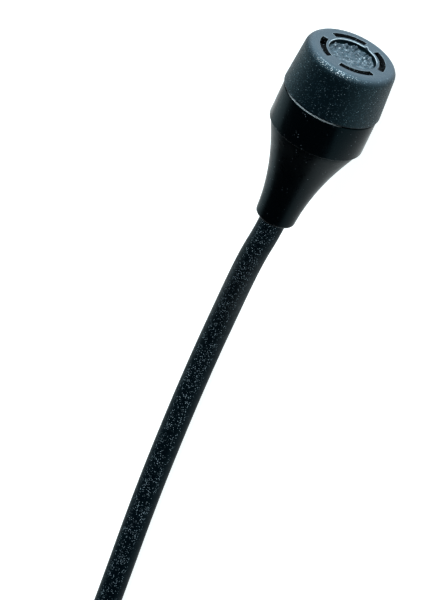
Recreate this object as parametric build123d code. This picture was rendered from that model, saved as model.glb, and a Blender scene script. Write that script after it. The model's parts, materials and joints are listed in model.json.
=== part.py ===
"""A small omnidirectional lavalier microphone with its cable and miniature three-pole connector.

Millimetres. The head lies along X with its cap towards +X and rests on z = 0. The cable runs away
towards -X, is wound into a tied coil and ends in the connector, which lies beside the coil.
"""

from build123d import *
from math import cos, pi, radians, sin, tan
import os

# ---- Head: stations are measured from the seam between cap and housing, towards the cap ----
CAP_RIM_RADIUS = 3.75
CAP_FACE_RADIUS = 3.39
CAP_LENGTH = 3.89
CAP_EDGE_ROUND = 0.7
CAP_RIM_ROUND = 0.08
CAP_BORE_RADIUS = 3.21
CAP_BORE_DEPTH = 1.4
CAP_CHAMBER_RADIUS = 2.95
CAP_CHAMBER_TOP = 3.3
RECESS_RADIUS = 1.83
RECESS_DEPTH = 0.37
RECESS_BEAD_RADIUS = 1.93
RECESS_BEAD = 0.07
RECESS_BEAD_RISE = 0.03
SLOT_COUNT = 4
SLOT_INNER = 2.05
SLOT_OUTER = 2.52
SLOT_SPAN = 61.0
SLOT_TURN = 65.0
GRIP_GROOVE_RADIUS = 3.41
GRIP_RING_INNER = 3.18
GRIP_START, GRIP_END = 0.45, 0.85
SCREEN_THICKNESS = 0.12
FOAM_THICKNESS = 0.9
FIT = 0.02
CLOSE_FIT = 0.01
LOOSE_FIT = 0.03
SOFT_FIT = 0.05
PAST = 1.0  # how far a cutting shape runs past the face that it cuts

HOUSING_RADIUS = 3.64
HOUSING_TOP = -0.12
HOUSING_BOTTOM = -2.98
HOUSING_BORE = 2.9
SPIGOT_RADIUS = 3.15
SPIGOT_TOP = 1.1
HOUSING_TOP_ROUND = 0.15
HOUSING_BOTTOM_ROUND = 0.06

CAN_RADIUS = 2.7
CAN_WALL = 0.18
CAN_BOTTOM, CAN_TOP = -1.55, 1.05
CAN_INNER = CAN_RADIUS - CAN_WALL
CAN_LIP_RADIUS = 2.0
CAN_LIP = 0.2
SOUND_HOLE_RADIUS = 0.5
BOARD_THICKNESS = 0.4
CAN_ROUND = 0.12
DIAPHRAGM_RING_HEIGHT = 0.25
DIAPHRAGM_RING_INNER = 2.1
DIAPHRAGM_THICKNESS = 0.03
SPACER_THICKNESS = 0.06
SPACER_INNER = 2.15
PLATE_RADIUS = 2.1
PLATE_THICKNESS = 0.3
AIR_HOLE_COUNT = 6
AIR_HOLE_CIRCLE = 1.2
AIR_HOLE_RADIUS = 0.18
GATE_RING_OUTER, GATE_RING_INNER = 1.75, 1.55
FET_SIZE = (1.5, 1.2, 0.6)
CAPACITOR_SIZE = (0.95, 0.45, 0.5)
CAPACITOR_OFFSET = 0.98
CLOTH_RADIUS = 2.3
CLOTH_THICKNESS = 0.12
SLEEVE_TOP = 0.9
WASHER_BORE = 1.7

BOOT_TOP_RADIUS = 3.45
BOOT_END_RADIUS = 1.432
BOOT_END = -10.81
BOOT_CURVE = ((3.734, -2.985), (1.767, -6.017))
BOOT_SPIGOT_RADIUS = 2.88
BOOT_SPIGOT_TOP = -1.85
BOOT_LIP_ROUND = 0.2
LEAD_ROOM_RADIUS = 2.0
LEAD_ROOM_END = -3.9
FERRULE_RADIUS = 1.43
FERRULE_START, FERRULE_END = -5.1, -4.2
JACKET_TOP = -4.0
JACKET_END = -9.81
LEAD_RADIUS = 0.17
LEAD_CIRCLE_FRONT = 0.9
LEAD_CIRCLE_BACK = 0.45
LEAD_STRAIGHT = 0.7
LEAD_BEND = 0.4
SOLDER_RADIUS = 0.33
LEAD_NAMES = ("signal_lead", "bias_lead", "shield_lead")

SEAM_X = -(CAP_LENGTH + RECESS_BEAD_RISE + BOOT_END) / 2
AXIS_HEIGHT = 3.742

# ---- Cable ----
CABLE_RADIUS = 1.0
ROUTE = (
    (SEAM_X + JACKET_END, 0.0, AXIS_HEIGHT),
    (-8.5, 0.0, AXIS_HEIGHT),
    (-11.2, 0.6, 3.5),
    (-14.4, 1.5, 2.7),
    (-18.4, 2.65, 1.55),
    (-22.6, 3.15, 1.02),
    (-28.5, 2.9, 1.0),
    (-36.0, 2.3, 1.0),
    (-44.0, 1.25, 1.0),
    (-51.0, 0.45, 1.0),
)
COIL_CENTRE = (-55.0, -15.9)
COIL_COLUMNS = 6
COIL_LAYERS = 4
COIL_PITCH = 2.02
COIL_OUTER_TURN = 15.8
TIE_LIFT = 0.45
COIL_TOP = COIL_LAYERS * 2.0 * CABLE_RADIUS + TIE_LIFT
COIL_EDGE_ROUND = 0.8
TIE_WIDTH = 6.0
TIE_THICKNESS = 0.4
TIE_GAP = 0.1
TIE_CORNER = 0.7

# ---- Connector: stations are measured from the end of its flex relief, towards the sockets ----
CONNECTOR_OFFSET = 20.4
CONNECTOR_HEIGHT = 5.3
CONNECTOR_REAR_X = COIL_CENTRE[0] + 1.5
RELIEF_LENGTH = 9.0
RELIEF_RADII = (1.75, 2.75)
RELIEF_COLLAR_RADIUS = 3.35
RELIEF_COLLAR_END = 10.6
CHUCK_START, CHUCK_END = 10.65, 15.4
NUT_START, NUT_END = 8.4, 13.0
NUT_RADIUS = 4.9
NUT_MOUTH_RADIUS = 2.95
NUT_ROOM_RADIUS = 3.45
THREAD_RADIUS = 4.0
THREAD_END = 16.4
FLUTE_COUNT = 20
SHELL_START = 13.1
BARREL_END = 25.0
SHELL_END = 34.0
BARREL_RADIUS = 5.2
NOSE_RADIUS = 4.6
TIP_START = 30.4
TIP_RADIUS = 4.2
TIP_BORE = 3.6
SHELL_BORE = 3.9
THREAD_BORE = 4.06
THREAD_BORE_END = 16.8
INSERT_START, INSERT_END = 20.0, 33.7
SOCKET_CIRCLE = 2.0
SOCKET_RADIUS = 0.72
SOCKET_BORE = 0.52
SOCKET_MOUTH = 0.56
SOCKET_COUNT = 3
SOCKET_TURN = 30.0
CHANNEL_FLOOR = 2.0
CHANNEL_WIDTH = 2.7
CHANNEL_END = 29.6
CHANNEL_DEPTH = 4.0
LEVER_ROOM = 0.3
LEVER_WIDTH = 2.4
LEVER_START, LEVER_END = 18.6, 29.2
PIVOT_STATION, PIVOT_HEIGHT = 19.4, 3.85
PIVOT_RADIUS = 0.35
SPRING_STATION = 24.2
SPRING_RADIUS = 0.5
SPRING_WIRE = 0.1
SPRING_TURNS = 4
GROOVE_STATIONS = (1.6, 3.2, 4.8, 6.4)
GROOVE_WIDTH = 0.6
GROOVE_START_RADIUS = 1.45
GROOVE_TAPER = 0.1
NUT_TAIL_RADIUS = 3.7
NUT_TAPER_LENGTH = 1.6
FLUTE_RADIUS = 0.35
FLUTE_OFFSET = 0.12
FLUTE_SHOULDER = 0.5
CHUCK_RADII = (3.3, 2.6)
CHUCK_SLIT_COUNT = 3
CHUCK_SLIT = (4, 0.4, 3)
CHUCK_SLIT_CENTRE = (2.6, 0, 14.2)
SCREW_STATION = 22.0
SCREW_RADIUS = 0.6
SCREW_LENGTH = 1.6
SCREW_DEPTH = 4.3
SCREW_HOLE_DEPTH = 4.5
SCREW_HOLE_LENGTH = 3.0
INSERT_STEP = 25.0
SOCKET_BACK = 18.4
SOCKET_CUP_RADIUS, SOCKET_CUP_END = 0.45, 19.8
SOCKET_BORE_START = 26.0
MOUTH_DEPTH = 0.8
CONNECTOR_LEAD_RADIUS = 0.2
TAIL_CABLE_END = 16.2
LEVER_THICKNESS = 0.7
LEVER_UNDERSIDE = 0.4
EYE_RADIUS = 0.7
BUTTON_HEIGHT = 2.0
BUTTON_LENGTH = 3.4
BUTTON_STATION = 22.9
BUTTON_CENTRE_HEIGHT = 5.1
BUTTON_CHAMFER = 0.3
HOOK_HEIGHT = 1.0
HOOK_RISE = 0.65
HOOK_LENGTH = 1.3
HOOK_CHAMFER = 0.6
PIN_LENGTH = 6.4

HEAD = Plane(origin=(SEAM_X, 0, AXIS_HEIGHT), x_dir=(0, 1, 0), z_dir=(1, 0, 0)).location
CONNECTOR_Y = COIL_CENTRE[1] - CONNECTOR_OFFSET
CONNECTOR = Plane(
    origin=(CONNECTOR_REAR_X, CONNECTOR_Y, CONNECTOR_HEIGHT), x_dir=(0, 1, 0), z_dir=(1, 0, 0)
).location


def disc(radius, start, end):
    """A round bar between two stations on the local axis."""
    return Pos(0, 0, (start + end) / 2) * Cylinder(radius, end - start)


def ring(outer, inner, start, end):
    """A round bar with a hole through it."""
    return disc(outer, start, end) - disc(inner, start - PAST, end + PAST)


def cone(start_radius, end_radius, start, end):
    """A tapered round bar between two stations."""
    return Pos(0, 0, (start + end) / 2) * Cone(start_radius, end_radius, end - start)


def block(size, centre):
    """A rectangular bar of the given size about the given centre."""
    return Pos(*centre) * Box(*size)


def rounded(part, radius, station, size):
    """Rounds the circular edge of the given radius at the given station."""
    edges = part.edges().filter_by(GeomType.CIRCLE)
    picked = [e for e in edges if abs(e.radius - radius) < 0.02 and abs(e.center().Z - station) < 0.02]
    return fillet(picked, size)


def around(piece, count, turn=0.0):
    """Copies of a piece spread evenly round the local axis."""
    return [Rot(0, 0, turn + 360.0 * n / count) * piece for n in range(count)]


def wire(points, radius, bend):
    """A round wire along straight runs joined by arcs."""
    path = FilletPolyline(*points, radius=bend)
    return sweep(Plane(path @ 0, z_dir=path % 0) * Circle(radius), path=path)


# ---- Cap ----


def arc_slot():
    """One curved slot, cut through the cap's roof."""
    start = -SLOT_SPAN / 2
    inner = CenterArc((0, 0), SLOT_INNER, start, SLOT_SPAN)
    outer = CenterArc((0, 0), SLOT_OUTER, start, SLOT_SPAN)
    sides = [Line(inner @ end, outer @ end) for end in (0, 1)]
    depth = CAP_LENGTH - CAP_CHAMBER_TOP + 2 * PAST
    return Pos(0, 0, CAP_CHAMBER_TOP - PAST) * extrude(make_face([inner, outer, *sides]), depth)


def grille_cap():
    """The push-on cap: tapered, with a rounded edge, a centre recess and four curved slots."""
    body = cone(CAP_RIM_RADIUS, CAP_FACE_RADIUS, 0, CAP_LENGTH)
    body = rounded(body, CAP_FACE_RADIUS, CAP_LENGTH, CAP_EDGE_ROUND)
    body = rounded(body, CAP_RIM_RADIUS, 0, CAP_RIM_ROUND)
    body -= disc(CAP_BORE_RADIUS, -PAST, CAP_BORE_DEPTH)
    body -= disc(GRIP_GROOVE_RADIUS, GRIP_START, GRIP_END)
    body -= disc(CAP_CHAMBER_RADIUS, 0, CAP_CHAMBER_TOP)
    body -= disc(RECESS_RADIUS, CAP_LENGTH - RECESS_DEPTH, CAP_LENGTH + PAST)
    body += Pos(0, 0, CAP_LENGTH + RECESS_BEAD_RISE - RECESS_BEAD) * Torus(RECESS_BEAD_RADIUS, RECESS_BEAD)
    for slot in around(arc_slot(), SLOT_COUNT, SLOT_TURN):
        body -= slot
    return body


def cap_parts():
    """The cap and what is fixed inside it."""
    screen_start = CAP_CHAMBER_TOP - SCREEN_THICKNESS
    return {
        "grille_cap": grille_cap(),
        "cap_screen": disc(CAP_CHAMBER_RADIUS - FIT, screen_start, CAP_CHAMBER_TOP),
        "cap_foam": disc(CAP_CHAMBER_RADIUS - SOFT_FIT, screen_start - FOAM_THICKNESS, screen_start),
        "cap_grip_ring": ring(GRIP_GROOVE_RADIUS, GRIP_RING_INNER, GRIP_START, GRIP_END),
    }


# ---- Housing and boot ----


def housing():
    """The smooth tube that holds the capsule, with the spigot that the cap grips."""
    body = disc(HOUSING_RADIUS, HOUSING_BOTTOM, HOUSING_TOP)
    body = rounded(body, HOUSING_RADIUS, HOUSING_TOP, HOUSING_TOP_ROUND)
    body = rounded(body, HOUSING_RADIUS, HOUSING_BOTTOM, HOUSING_BOTTOM_ROUND)
    body += disc(SPIGOT_RADIUS, HOUSING_TOP, SPIGOT_TOP)
    return body - disc(HOUSING_BORE, HOUSING_BOTTOM - PAST, SPIGOT_TOP + PAST)


def bend_relief():
    """The trumpet-shaped rubber boot, with a room for the leads and a pocket for the ferrule."""
    top = (BOOT_TOP_RADIUS, HOUSING_BOTTOM)
    end = (BOOT_END_RADIUS, BOOT_END)
    flare = Bezier(top, *BOOT_CURVE, end)
    walls = Polyline(end, (0, BOOT_END), (0, HOUSING_BOTTOM), top)
    body = revolve(Plane.XZ * make_face([flare, *walls.edges()]), Axis.Z)
    body = rounded(body, BOOT_END_RADIUS, BOOT_END, BOOT_LIP_ROUND)
    body += disc(BOOT_SPIGOT_RADIUS, HOUSING_BOTTOM, BOOT_SPIGOT_TOP)
    body -= disc(LEAD_ROOM_RADIUS, LEAD_ROOM_END, BOOT_SPIGOT_TOP + PAST)
    body -= disc(FERRULE_RADIUS + FIT, FERRULE_START, LEAD_ROOM_END)
    return body - disc(CABLE_RADIUS + FIT, BOOT_END - PAST, FERRULE_START)


# ---- Capsule ----


def capsule_can():
    """The capsule's drawn aluminium can, rolled over behind the board."""
    body = ring(CAN_RADIUS, CAN_INNER, CAN_BOTTOM, CAN_TOP)
    body += ring(CAN_RADIUS, SOUND_HOLE_RADIUS, CAN_TOP - CAN_WALL, CAN_TOP)
    body += ring(CAN_RADIUS, CAN_LIP_RADIUS, CAN_BOTTOM, CAN_BOTTOM + CAN_LIP)
    return rounded(body, CAN_RADIUS, CAN_TOP, CAN_ROUND)


def backplate(start, end):
    """The charged plate behind the diaphragm, with a ring of air holes."""
    plate = disc(PLATE_RADIUS, start, end)
    hole = Pos(AIR_HOLE_CIRCLE, 0, 0) * disc(AIR_HOLE_RADIUS, start - PAST, end + PAST)
    for copy in around(hole, AIR_HOLE_COUNT):
        plate -= copy
    return plate


def capsule_parts():
    """The electret capsule, from its front down to the board."""
    stack = CAN_INNER - FIT
    ring_start = CAN_TOP - CAN_WALL - DIAPHRAGM_RING_HEIGHT
    film_start = ring_start - DIAPHRAGM_THICKNESS
    spacer_start = film_start - SPACER_THICKNESS
    plate_start = spacer_start - PLATE_THICKNESS
    board_top = CAN_BOTTOM + CAN_LIP + BOARD_THICKNESS
    holder = ring(stack, GATE_RING_OUTER + FIT, board_top, spacer_start)
    holder -= disc(PLATE_RADIUS + FIT, plate_start, spacer_start + PAST)
    middle = board_top + CAPACITOR_SIZE[2] / 2
    capacitors = [block(CAPACITOR_SIZE, (0, side * CAPACITOR_OFFSET, middle)) for side in (-1, 1)]
    return {
        "capsule_can": capsule_can(),
        "diaphragm_ring": ring(stack, DIAPHRAGM_RING_INNER, ring_start, CAN_TOP - CAN_WALL),
        "diaphragm": disc(stack, film_start, ring_start),
        "spacer_ring": ring(stack, SPACER_INNER, spacer_start, film_start),
        "backplate": backplate(plate_start, spacer_start),
        "backplate_holder": holder,
        "gate_ring": ring(GATE_RING_OUTER, GATE_RING_INNER, board_top, plate_start),
        "capsule_board": disc(stack, CAN_BOTTOM + CAN_LIP, board_top),
        "fet": block(FET_SIZE, (0, 0, board_top + FET_SIZE[2] / 2)),
        "board_capacitors": Compound(capacitors),
    }


def solder_joint():
    """A rounded solder bump on the back of the board."""
    back = CAN_BOTTOM + CAN_LIP
    bump = Pos(LEAD_CIRCLE_FRONT, 0, back) * Sphere(SOLDER_RADIUS)
    return bump & (Pos(LEAD_CIRCLE_FRONT, 0, 0) * disc(2 * SOLDER_RADIUS, back - 2 * SOLDER_RADIUS, back))


def lead():
    """One wire from the end of the cable to its solder joint."""
    solder = CAN_BOTTOM + CAN_LIP - SOLDER_RADIUS
    points = (
        (LEAD_CIRCLE_BACK, 0, JACKET_TOP),
        (LEAD_CIRCLE_BACK, 0, JACKET_TOP + LEAD_STRAIGHT),
        (LEAD_CIRCLE_FRONT, 0, solder - LEAD_STRAIGHT),
        (LEAD_CIRCLE_FRONT, 0, solder),
    )
    return wire(points, LEAD_RADIUS, LEAD_BEND)


def housing_parts():
    """Everything that stays with the housing."""
    parts = {"housing": housing(), "bend_relief": bend_relief(), **capsule_parts()}
    parts["front_cloth"] = disc(CLOTH_RADIUS, CAN_TOP, CAN_TOP + CLOTH_THICKNESS)
    parts["capsule_sleeve"] = ring(HOUSING_BORE - FIT, CAN_RADIUS, CAN_BOTTOM, SLEEVE_TOP)
    parts["rear_washer"] = ring(HOUSING_BORE - FIT, WASHER_BORE, BOOT_SPIGOT_TOP, CAN_BOTTOM)
    parts["solder_joints"] = Compound(around(solder_joint(), len(LEAD_NAMES)))
    parts.update(zip(LEAD_NAMES, around(lead(), len(LEAD_NAMES))))
    parts["anchor_ferrule"] = ring(FERRULE_RADIUS, CABLE_RADIUS, FERRULE_START, FERRULE_END)
    parts["cable_end"] = disc(CABLE_RADIUS, JACKET_END, JACKET_TOP)
    return parts


# ---- Cable ----


def free_cable(name, points):
    """A round cable along straight runs joined by arcs as large as the runs allow."""
    spots = [Vector(*p) for p in points]
    runs = [b - a for a, b in zip(spots, spots[1:])]
    radii = []
    for before, after in zip(runs, runs[1:]):
        half_turn = radians(before.get_angle(after)) / 2
        radii.append(0.45 * min(before.length, after.length) / tan(half_turn))
    path = FilletPolyline(*points, radius=radii)
    cable = sweep(Plane(path @ 0, z_dir=path % 0) * Circle(CABLE_RADIUS), path=path)
    share = cable.volume / (pi * CABLE_RADIUS**2 * path.length)
    print(name, "length", round(path.length, 2), "smallest radius", round(min(radii), 1), end=" ")
    print("volume over section times length", round(share, 4))
    return cable


def on_coil(degrees, distance, height):
    """A point at an angle and distance about the coil's centre."""
    angle = radians(degrees)
    return (COIL_CENTRE[0] + distance * cos(angle), COIL_CENTRE[1] + distance * sin(angle), height)


def coil():
    """The outer shape of the wound cable."""
    outer = COIL_OUTER_TURN + CABLE_RADIUS
    inner = COIL_OUTER_TURN - (COIL_COLUMNS - 1) * COIL_PITCH - CABLE_RADIUS
    body = ring(outer, inner, 0, COIL_TOP)
    body = fillet(body.edges().filter_by(GeomType.CIRCLE), COIL_EDGE_ROUND)
    return Pos(*COIL_CENTRE, 0) * body


def coil_tie():
    """The hook-and-loop strap round one side of the coil."""
    outer = COIL_OUTER_TURN + CABLE_RADIUS + TIE_GAP
    inner = COIL_OUTER_TURN - (COIL_COLUMNS - 1) * COIL_PITCH - CABLE_RADIUS - TIE_GAP
    height = COIL_TOP - TIE_THICKNESS
    middle = (0, -(outer + inner) / 2, TIE_THICKNESS + FIT + height / 2)
    room = block((TIE_WIDTH + PAST, outer - inner, height), middle)
    strap = block((TIE_WIDTH, outer - inner + 2 * TIE_THICKNESS, height + 2 * TIE_THICKNESS), middle)
    strap = fillet(strap.edges().filter_by(Axis.X), TIE_CORNER)
    return Pos(*COIL_CENTRE, 0) * (strap - room)


def tail_route():
    """From the coil's top turn, widening round the coil, to the connector's flex relief."""
    top = COIL_TOP - CABLE_RADIUS
    return (
        on_coil(150, COIL_OUTER_TURN, top),
        on_coil(178, COIL_OUTER_TURN + 0.2, top - 0.3),
        on_coil(202, COIL_OUTER_TURN + 2.2, top - 1.1),
        on_coil(225, COIL_OUTER_TURN + 4.4, CONNECTOR_HEIGHT + 0.3),
        (CONNECTOR_REAR_X - 9.8, CONNECTOR_Y, CONNECTOR_HEIGHT),
        (CONNECTOR_REAR_X, CONNECTOR_Y, CONNECTOR_HEIGHT),
    )


def cord_parts():
    """The cable outside the head, its coil and its tie."""
    return {
        "cable_tube": free_cable("cable_tube", ROUTE),
        "cable_coil": coil(),
        "cable_tail": free_cable("cable_tail", tail_route()),
        "coil_tie": coil_tie(),
    }


# ---- Connector ----


def flex_relief():
    """The grooved rubber sleeve that the cable leaves through."""
    body = cone(*RELIEF_RADII, 0, RELIEF_LENGTH)
    for station in GROOVE_STATIONS:
        floor = GROOVE_START_RADIUS + GROOVE_TAPER * station
        body -= ring(RELIEF_RADII[1] + PAST, floor, station, station + GROOVE_WIDTH)
    body += disc(RELIEF_COLLAR_RADIUS, RELIEF_LENGTH, RELIEF_COLLAR_END)
    return body - disc(CABLE_RADIUS + LOOSE_FIT, -PAST, RELIEF_COLLAR_END + PAST)


def back_nut():
    """The fluted nut that screws into the back of the shell and traps the relief's collar."""
    shoulder = NUT_START + NUT_TAPER_LENGTH
    body = cone(NUT_TAIL_RADIUS, NUT_RADIUS, NUT_START, shoulder) + disc(NUT_RADIUS, shoulder, NUT_END)
    flute = disc(FLUTE_RADIUS, NUT_START - PAST, NUT_END - FLUTE_SHOULDER)
    for copy in around(Pos(NUT_RADIUS + FLUTE_OFFSET, 0, 0) * flute, FLUTE_COUNT):
        body -= copy
    body += disc(THREAD_RADIUS, NUT_END, THREAD_END)
    body -= disc(NUT_MOUTH_RADIUS, NUT_START - PAST, THREAD_END)
    return body - disc(NUT_ROOM_RADIUS, RELIEF_LENGTH - SOFT_FIT, THREAD_END + PAST)


def cable_chuck():
    """The slit collet that grips the cable inside the nut."""
    body = cone(*CHUCK_RADII, CHUCK_START, CHUCK_END)
    body -= disc(CABLE_RADIUS, CHUCK_START - PAST, CHUCK_END + PAST)
    for slit in around(block(CHUCK_SLIT, CHUCK_SLIT_CENTRE), CHUCK_SLIT_COUNT, 90):
        body -= slit
    return body


def latch_channel(start):
    """The straight channel that the latch lies in, from a station to the channel's end."""
    length = CHANNEL_END - start
    centre = (0, CHANNEL_FLOOR + CHANNEL_DEPTH / 2, start + length / 2)
    return block((CHANNEL_WIDTH, CHANNEL_DEPTH, length), centre)


def pivot_bar(radius, length):
    """A round bar across the connector on the latch's pivot."""
    return Pos(0, PIVOT_HEIGHT, PIVOT_STATION) * Rot(0, 90, 0) * Cylinder(radius, length)


def screw_bar(depth, length):
    """A round bar along the screw's axis, centred at a depth below the connector's axis."""
    return Pos(0, -depth, SCREW_STATION) * Rot(90, 0, 0) * Cylinder(SCREW_RADIUS, length)


def screw_hole():
    """The hole for the screw that holds the insert."""
    return screw_bar(SCREW_HOLE_DEPTH, SCREW_HOLE_LENGTH)


def connector_shell():
    """The turned metal shell, with a slot for the latch and a plain nose."""
    body = disc(BARREL_RADIUS, SHELL_START, BARREL_END) + disc(NOSE_RADIUS, BARREL_END, TIP_START)
    body += disc(TIP_RADIUS, TIP_START, SHELL_END)
    body = rounded(body, BARREL_RADIUS, BARREL_END, 0.3)
    body = rounded(body, NOSE_RADIUS, TIP_START, 0.15)
    body = rounded(body, TIP_RADIUS, SHELL_END, 0.25)
    body -= disc(SHELL_BORE, THREAD_BORE_END - PAST, TIP_START)
    body -= disc(TIP_BORE, TIP_START - PAST, SHELL_END + PAST)
    body -= disc(THREAD_BORE, SHELL_START - PAST, THREAD_BORE_END)
    body -= latch_channel(LEVER_START - LEVER_ROOM)
    body -= pivot_bar(PIVOT_RADIUS, 4 * BARREL_RADIUS)
    return body - screw_hole()


def socket_insert():
    """The moulded block that holds the three sockets, channelled under the latch."""
    body = disc(SHELL_BORE - CLOSE_FIT, INSERT_START, TIP_START - FIT)
    body += disc(TIP_BORE - CLOSE_FIT, INSERT_STEP, INSERT_END)
    body -= latch_channel(INSERT_START - PAST)
    seat = Pos(SOCKET_CIRCLE, 0, 0) * disc(SOCKET_RADIUS, INSERT_START - PAST, INSERT_END - MOUTH_DEPTH)
    mouth = Pos(SOCKET_CIRCLE, 0, 0) * disc(SOCKET_MOUTH, INSERT_END - PAST, INSERT_END + PAST)
    for hole in around(seat, SOCKET_COUNT, SOCKET_TURN) + around(mouth, SOCKET_COUNT, SOCKET_TURN):
        body -= hole
    return body - screw_hole()


def socket_contacts():
    """The three turned sockets with their solder cups."""
    contact = disc(SOCKET_RADIUS - CLOSE_FIT, SOCKET_BACK, INSERT_END - MOUTH_DEPTH - SOFT_FIT)
    contact -= disc(SOCKET_BORE, SOCKET_BORE_START, INSERT_END)
    contact -= disc(SOCKET_CUP_RADIUS, SOCKET_BACK - PAST, SOCKET_CUP_END)
    return Compound(around(Pos(SOCKET_CIRCLE, 0, 0) * contact, SOCKET_COUNT, SOCKET_TURN))


def connector_leads():
    """Three wires from the end of the cable to the solder cups."""
    points = (
        (LEAD_CIRCLE_BACK, 0, TAIL_CABLE_END),
        (LEAD_CIRCLE_BACK, 0, TAIL_CABLE_END + 0.8),
        (SOCKET_CIRCLE, 0, SOCKET_BACK + 0.2),
        (SOCKET_CIRCLE, 0, SOCKET_CUP_END - 0.1),
    )
    return Compound(around(wire(points, CONNECTOR_LEAD_RADIUS, LEAD_BEND), SOCKET_COUNT, SOCKET_TURN))


def latch_lever():
    """The sprung lever: pivot eye at the back, push button in the middle, hook in front."""
    bar_length = LEVER_END - PIVOT_STATION
    bar_height = PIVOT_HEIGHT - SOFT_FIT
    bar_centre = (0, bar_height, PIVOT_STATION + bar_length / 2)
    body = block((LEVER_WIDTH, LEVER_THICKNESS, bar_length), bar_centre)
    body += pivot_bar(EYE_RADIUS, LEVER_WIDTH)
    button = block((LEVER_WIDTH, BUTTON_HEIGHT, BUTTON_LENGTH), (0, BUTTON_CENTRE_HEIGHT, BUTTON_STATION))
    body += chamfer(button.faces().sort_by(Axis.Y)[-1].edges(), BUTTON_CHAMFER)
    hook_centre = (0, PIVOT_HEIGHT + HOOK_RISE, LEVER_END - HOOK_LENGTH / 2)
    hook = block((LEVER_WIDTH, HOOK_HEIGHT, HOOK_LENGTH), hook_centre)
    body += chamfer(hook.faces().sort_by(Axis.Y)[-1].edges().sort_by(Axis.Z)[-1], HOOK_CHAMFER)
    return body - pivot_bar(PIVOT_RADIUS + LOOSE_FIT, 4 * BARREL_RADIUS)


def latch_spring():
    """The small compression spring under the lever."""
    height = PIVOT_HEIGHT - LEVER_UNDERSIDE - CHANNEL_FLOOR - 2 * SPRING_WIRE
    path = Helix(height / SPRING_TURNS, height, SPRING_RADIUS)
    body = sweep(Plane(path @ 0, z_dir=path % 0) * Circle(SPRING_WIRE), path=path)
    return Pos(0, CHANNEL_FLOOR + SPRING_WIRE, SPRING_STATION) * Rot(-90, 0, 0) * body


def connector_parts():
    """The connector, in its own frame."""
    return {
        "flex_relief": flex_relief(),
        "back_nut": back_nut(),
        "cable_chuck": cable_chuck(),
        "connector_shell": connector_shell(),
        "socket_insert": socket_insert(),
        "socket_contacts": socket_contacts(),
        "connector_leads": connector_leads(),
        "latch_lever": latch_lever(),
        "latch_spring": latch_spring(),
        "latch_pin": pivot_bar(PIVOT_RADIUS, PIN_LENGTH),
        "insert_screw": screw_bar(SCREW_DEPTH, SCREW_LENGTH),
        "tail_end": disc(CABLE_RADIUS, 0, TAIL_CABLE_END),
    }


def main():
    """Writes every piece in place, one file each."""
    os.makedirs("parts", exist_ok=True)
    groups = (
        (HEAD, {**cap_parts(), **housing_parts()}),
        (CONNECTOR, connector_parts()),
        (Pos(), cord_parts()),
    )
    for place, parts in groups:
        for name, piece in parts.items():
            export_step(place * piece, f"parts/{name}.step")


main()
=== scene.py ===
"""The lavalier microphone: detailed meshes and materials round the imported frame, lights and camera."""

import json
import math

import bmesh
import bpy
from mathutils import Matrix, Vector, noise


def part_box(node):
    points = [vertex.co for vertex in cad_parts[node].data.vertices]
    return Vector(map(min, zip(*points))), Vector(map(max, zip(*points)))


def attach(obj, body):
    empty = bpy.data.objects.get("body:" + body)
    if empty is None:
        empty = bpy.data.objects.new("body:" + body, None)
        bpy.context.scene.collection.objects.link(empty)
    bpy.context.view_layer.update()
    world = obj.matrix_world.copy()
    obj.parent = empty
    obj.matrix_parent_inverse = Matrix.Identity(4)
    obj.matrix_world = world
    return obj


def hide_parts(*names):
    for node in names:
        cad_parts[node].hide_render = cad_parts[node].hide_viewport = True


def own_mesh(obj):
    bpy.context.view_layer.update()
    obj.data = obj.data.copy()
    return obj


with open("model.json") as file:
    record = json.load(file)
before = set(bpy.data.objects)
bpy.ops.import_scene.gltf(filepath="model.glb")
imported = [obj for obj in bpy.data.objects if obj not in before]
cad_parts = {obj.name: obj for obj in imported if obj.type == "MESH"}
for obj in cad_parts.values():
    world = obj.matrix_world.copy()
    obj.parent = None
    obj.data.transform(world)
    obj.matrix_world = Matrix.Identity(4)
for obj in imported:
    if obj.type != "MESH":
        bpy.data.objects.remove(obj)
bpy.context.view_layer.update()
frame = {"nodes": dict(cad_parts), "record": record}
NODES = frame["nodes"]
MM = 0.001

# ---- Places read from the frame, in metres ----
CAP_LOW, CAP_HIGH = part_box("grille_cap")
COIL_LOW, COIL_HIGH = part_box("cable_coil")
RELIEF_LOW, RELIEF_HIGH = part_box("flex_relief")
SPRING_LOW, SPRING_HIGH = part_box("latch_spring")
SEAM_X = CAP_LOW[0]
AXIS_Z = (CAP_LOW[2] + CAP_HIGH[2]) / 2
SEAM = Vector((SEAM_X, 0.0, AXIS_Z))

# ---- Head: stations in millimetres from the seam between cap and housing, towards the cap ----
CAP_RIM_RADIUS = 3.742
CAP_FACE_RADIUS = 3.47
CAP_LENGTH = 3.89
CAP_EDGE_ROUND = 0.63
CAP_RIM_ROUND = 0.08
CAP_SIDE_RINGS = 24
CAP_STEPS = 480
CAP_START_TURN = 0.25
CAP_CEILING_RADII = (1.2, 0.4)
CAP_BORE_RADIUS = 3.21
CAP_BORE_DEPTH = 1.4
CAP_CHAMBER_RADIUS = 2.95
CAP_CHAMBER_TOP = 3.3
RECESS_RADIUS = 1.83
RECESS_DEPTH = 0.37
RECESS_ROUND = 0.08
RECESS_RINGS = 44
LUMPS_PER_MM = 3.4
LUMP_SLICE = 4.0
LUMP_FINER = (1.9, 4.3)
LUMP_RISES = (0.42, 0.12, 0.05)
BURR_PLACE = (0.74, -1.7)
BURR_SIZE = 0.14
BURR_RISE = 0.15
SLOT_COUNT = 4
SLOT_INNER = 2.03
SLOT_OUTER = 2.57
SLOT_SPAN = 66.0
SLOT_TURN = 65.0
SLOT_CORNER = 0.09
SLOT_LIP = 0.03
SLOT_RINGS_START = 1.97
SLOT_RINGS_STEP = 0.02
SLOT_RINGS = 34
HOUSING_RADIUS = 3.64
HOUSING_TOP = -0.12
HOUSING_BOTTOM = -2.98
HOUSING_BORE = 2.9
SPIGOT_RADIUS = 3.15
SPIGOT_TOP = 1.1
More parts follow.
